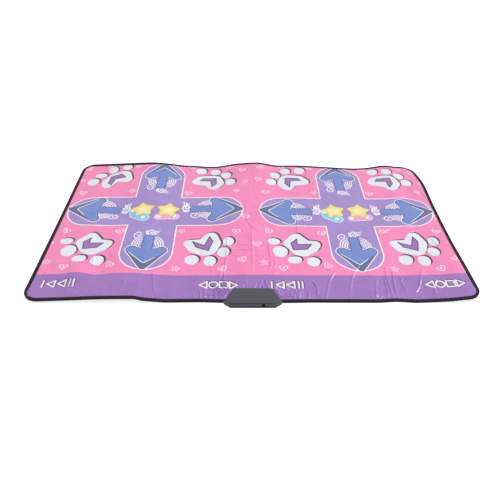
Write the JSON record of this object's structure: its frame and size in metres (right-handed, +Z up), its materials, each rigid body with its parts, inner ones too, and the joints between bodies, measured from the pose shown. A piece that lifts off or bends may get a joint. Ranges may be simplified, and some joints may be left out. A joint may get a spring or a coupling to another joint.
{
  "type": "dance mat controller",
  "caption": "Two-player foldable dance mat: a soft layered sheet with sprung step zones, a sewn edge binding and a control box clamped on the middle of one long edge.",
  "frame": {"origin": "middle of the mat's underside, on the floor", "axes": "+X along the mat's length to the player's-eye right in the picture, -Y towards the long edge with the control box, +Z up"},
  "size_m": [1.65, 0.9534, 0.025],
  "materials": {
    "printed_cover": "satin",
    "non_slip_cover": "matte",
    "edge_tape": "matte",
    "foam": "matte",
    "contact_film": "satin",
    "contact_pad": "satin",
    "box_plastic": "satin",
    "port_plastic": "satin",
    "board_laminate": "satin",
    "chip_resin": "gloss",
    "capacitor_sleeve": "gloss",
    "strip_rubber": "matte",
    "screw_steel": "satin"
  },
  "bodies": {
    "mat": {"top_cover": "printed_cover", "bottom_cover": "non_slip_cover", "edge_binding": "edge_tape", "cushion_foam": "foam", "contact_film_left": "contact_film", "contact_film_right": "contact_film", "spacer_foam_left": "foam", "spacer_foam_right": "foam", "box_top_shell": "box_plastic", "box_bottom_shell": "box_plastic", "circuit_board": "board_laminate", "controller_chip": "chip_resin", "crystal": "screw_steel", "capacitor": "capacitor_sleeve", "port_socket": "port_plastic", "rubber_strip": "strip_rubber", "box_screw_rear_left": "screw_steel", "box_screw_rear_right": "screw_steel", "box_screw_front_left": "screw_steel", "box_screw_front_right": "screw_steel", "board_screw_rear_left": "screw_steel", "board_screw_rear_right": "screw_steel", "board_screw_front_left": "screw_steel", "board_screw_front_right": "screw_steel"},
    "left_front_left_zone": {"left_front_left_pad": "contact_pad"},
    "left_front_middle_zone": {"left_front_middle_pad": "contact_pad"},
    "left_front_right_zone": {"left_front_right_pad": "contact_pad"},
    "left_centre_left_zone": {"left_centre_left_pad": "contact_pad"},
    "left_centre_right_zone": {"left_centre_right_pad": "contact_pad"},
    "left_rear_left_zone": {"left_rear_left_pad": "contact_pad"},
    "left_rear_middle_zone": {"left_rear_middle_pad": "contact_pad"},
    "left_rear_right_zone": {"left_rear_right_pad": "contact_pad"},
    "left_start_zone": {"left_start_pad": "contact_pad"},
    "left_select_zone": {"left_select_pad": "contact_pad"},
    "right_front_left_zone": {"right_front_left_pad": "contact_pad"},
    "right_front_middle_zone": {"right_front_middle_pad": "contact_pad"},
    "right_front_right_zone": {"right_front_right_pad": "contact_pad"},
    "right_centre_left_zone": {"right_centre_left_pad": "contact_pad"},
    "right_centre_right_zone": {"right_centre_right_pad": "contact_pad"},
    "right_rear_left_zone": {"right_rear_left_pad": "contact_pad"},
    "right_rear_middle_zone": {"right_rear_middle_pad": "contact_pad"},
    "right_rear_right_zone": {"right_rear_right_pad": "contact_pad"},
    "right_start_zone": {"right_start_pad": "contact_pad"},
    "right_select_zone": {"right_select_pad": "contact_pad"}
  },
  "joints": [
    {"name": "left_front_left_press", "type": "slide", "parent": "mat", "child": "left_front_left_zone", "axis": [0, 0, -1], "range_m": [0, 0.0016], "stiffness_N_per_m": 1500, "springref_m": -0.001},
    {"name": "left_front_middle_press", "type": "slide", "parent": "mat", "child": "left_front_middle_zone", "axis": [0, 0, -1], "range_m": [0, 0.0016], "stiffness_N_per_m": 1500, "springref_m": -0.001},
    {"name": "left_front_right_press", "type": "slide", "parent": "mat", "child": "left_front_right_zone", "axis": [0, 0, -1], "range_m": [0, 0.0016], "stiffness_N_per_m": 1500, "springref_m": -0.001},
    {"name": "left_centre_left_press", "type": "slide", "parent": "mat", "child": "left_centre_left_zone", "axis": [0, 0, -1], "range_m": [0, 0.0016], "stiffness_N_per_m": 1500, "springref_m": -0.001},
    {"name": "left_centre_right_press", "type": "slide", "parent": "mat", "child": "left_centre_right_zone", "axis": [0, 0, -1], "range_m": [0, 0.0016], "stiffness_N_per_m": 1500, "springref_m": -0.001},
    {"name": "left_rear_left_press", "type": "slide", "parent": "mat", "child": "left_rear_left_zone", "axis": [0, 0, -1], "range_m": [0, 0.0016], "stiffness_N_per_m": 1500, "springref_m": -0.001},
    {"name": "left_rear_middle_press", "type": "slide", "parent": "mat", "child": "left_rear_middle_zone", "axis": [0, 0, -1], "range_m": [0, 0.0016], "stiffness_N_per_m": 1500, "springref_m": -0.001},
    {"name": "left_rear_right_press", "type": "slide", "parent": "mat", "child": "left_rear_right_zone", "axis": [0, 0, -1], "range_m": [0, 0.0016], "stiffness_N_per_m": 1500, "springref_m": -0.001},
    {"name": "left_start_press", "type": "slide", "parent": "mat", "child": "left_start_zone", "axis": [0, 0, -1], "range_m": [0, 0.0016], "stiffness_N_per_m": 400, "springref_m": -0.001},
    {"name": "left_select_press", "type": "slide", "parent": "mat", "child": "left_select_zone", "axis": [0, 0, -1], "range_m": [0, 0.0016], "stiffness_N_per_m": 400, "springref_m": -0.001},
    {"name": "right_front_left_press", "type": "slide", "parent": "mat", "child": "right_front_left_zone", "axis": [0, 0, -1], "range_m": [0, 0.0016], "stiffness_N_per_m": 1500, "springref_m": -0.001},
    {"name": "right_front_middle_press", "type": "slide", "parent": "mat", "child": "right_front_middle_zone", "axis": [0, 0, -1], "range_m": [0, 0.0016], "stiffness_N_per_m": 1500, "springref_m": -0.001},
    {"name": "right_front_right_press", "type": "slide", "parent": "mat", "child": "right_front_right_zone", "axis": [0, 0, -1], "range_m": [0, 0.0016], "stiffness_N_per_m": 1500, "springref_m": -0.001},
    {"name": "right_centre_left_press", "type": "slide", "parent": "mat", "child": "right_centre_left_zone", "axis": [0, 0, -1], "range_m": [0, 0.0016], "stiffness_N_per_m": 1500, "springref_m": -0.001},
    {"name": "right_centre_right_press", "type": "slide", "parent": "mat", "child": "right_centre_right_zone", "axis": [0, 0, -1], "range_m": [0, 0.0016], "stiffness_N_per_m": 1500, "springref_m": -0.001},
    {"name": "right_rear_left_press", "type": "slide", "parent": "mat", "child": "right_rear_left_zone", "axis": [0, 0, -1], "range_m": [0, 0.0016], "stiffness_N_per_m": 1500, "springref_m": -0.001},
    {"name": "right_rear_middle_press", "type": "slide", "parent": "mat", "child": "right_rear_middle_zone", "axis": [0, 0, -1], "range_m": [0, 0.0016], "stiffness_N_per_m": 1500, "springref_m": -0.001},
    {"name": "right_rear_right_press", "type": "slide", "parent": "mat", "child": "right_rear_right_zone", "axis": [0, 0, -1], "range_m": [0, 0.0016], "stiffness_N_per_m": 1500, "springref_m": -0.001},
    {"name": "right_start_press", "type": "slide", "parent": "mat", "child": "right_start_zone", "axis": [0, 0, -1], "range_m": [0, 0.0016], "stiffness_N_per_m": 400, "springref_m": -0.001},
    {"name": "right_select_press", "type": "slide", "parent": "mat", "child": "right_select_zone", "axis": [0, 0, -1], "range_m": [0, 0.0016], "stiffness_N_per_m": 400, "springref_m": -0.001}
  ]
}
